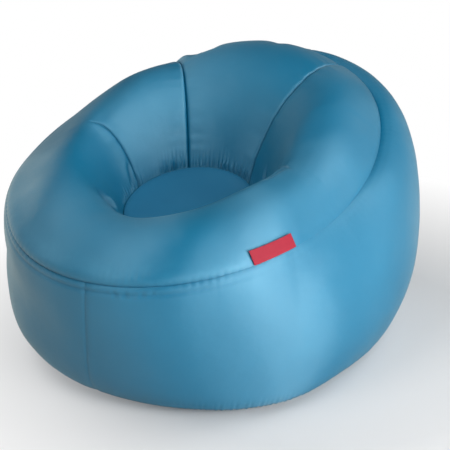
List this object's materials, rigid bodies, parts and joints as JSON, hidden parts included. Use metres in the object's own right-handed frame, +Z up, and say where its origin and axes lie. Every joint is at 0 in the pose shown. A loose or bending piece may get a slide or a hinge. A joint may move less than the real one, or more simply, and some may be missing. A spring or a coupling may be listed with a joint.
{
  "type": "inflatable lounger",
  "caption": "Round inflatable lounger with a sunken seat panel, crowned back channels, a smooth front apron and a roll-up filling neck with a buckle.",
  "frame": {"origin": "on the floor, at the middle of the footprint box", "axes": "+Z up; the front, where the sitter's legs go, faces -Y; +X is the sitter's left. Left and right in the node names are as seen from the front, so left is at -X"},
  "size_m": [0.9422, 1.0992, 0.5967],
  "materials": {
    "shell_cloth": "coated nylon, satin sheen",
    "seat_cloth": "coated nylon, darker, matt",
    "base_cloth": "heavier coated polyester, matt",
    "web_cloth": "coated nylon web, matt",
    "seam_tape": "welded seam tape",
    "label_cloth": "woven label, bare",
    "webbing": "woven polyester webbing",
    "buckle_plastic": "moulded acetal, satin"
  },
  "bodies": {
    "chair": {"back_channel_center": "shell_cloth", "back_channel_left": "shell_cloth", "back_channel_right": "shell_cloth", "base_panel": "base_cloth", "base_seam_tape": "seam_tape", "buckle_plug": "buckle_plastic", "buckle_socket": "buckle_plastic", "channel_web_arm_left": "web_cloth", "channel_web_arm_right": "web_cloth", "channel_web_back_left": "web_cloth", "channel_web_back_right": "web_cloth", "closure_roll": "shell_cloth", "front_apron": "shell_cloth", "neck_sleeve": "shell_cloth", "neck_stiffener": "buckle_plastic", "rim_seam_tape": "seam_tape", "seat_panel": "seat_cloth", "seat_tether_front": "web_cloth", "seat_tether_left": "web_cloth", "seat_tether_rear": "web_cloth", "seat_tether_right": "web_cloth", "side_panel_left": "shell_cloth", "side_panel_right": "shell_cloth", "strap_left": "webbing", "strap_right": "webbing"},
    "latch_upper": {"buckle_latch_upper": "buckle_plastic"},
    "latch_lower": {"buckle_latch_lower": "buckle_plastic"},
    "label": {"side_tag": "label_cloth"}
  },
  "joints": [
    {"name": "latch_upper_squeeze", "type": "hinge", "parent": "chair", "child": "latch_upper", "pos_m": [0.0094, 0.51513, 0.06765], "axis": [0, -1, 0], "range_deg": [0, 12], "stiffness_Nm_per_rad": 0.05},
    {"name": "latch_lower_squeeze", "type": "hinge", "parent": "chair", "child": "latch_lower", "pos_m": [0.0094, 0.51513, 0.04435], "axis": [0, 1, 0], "range_deg": [0, 12], "stiffness_Nm_per_rad": 0.05},
    {"name": "label_flip", "type": "hinge", "parent": "chair", "child": "label", "pos_m": [0.34051, -0.29751, 0.37977], "axis": [0.4094, 0.9038, 0.1245], "range_deg": [0, 100]}
  ]
}
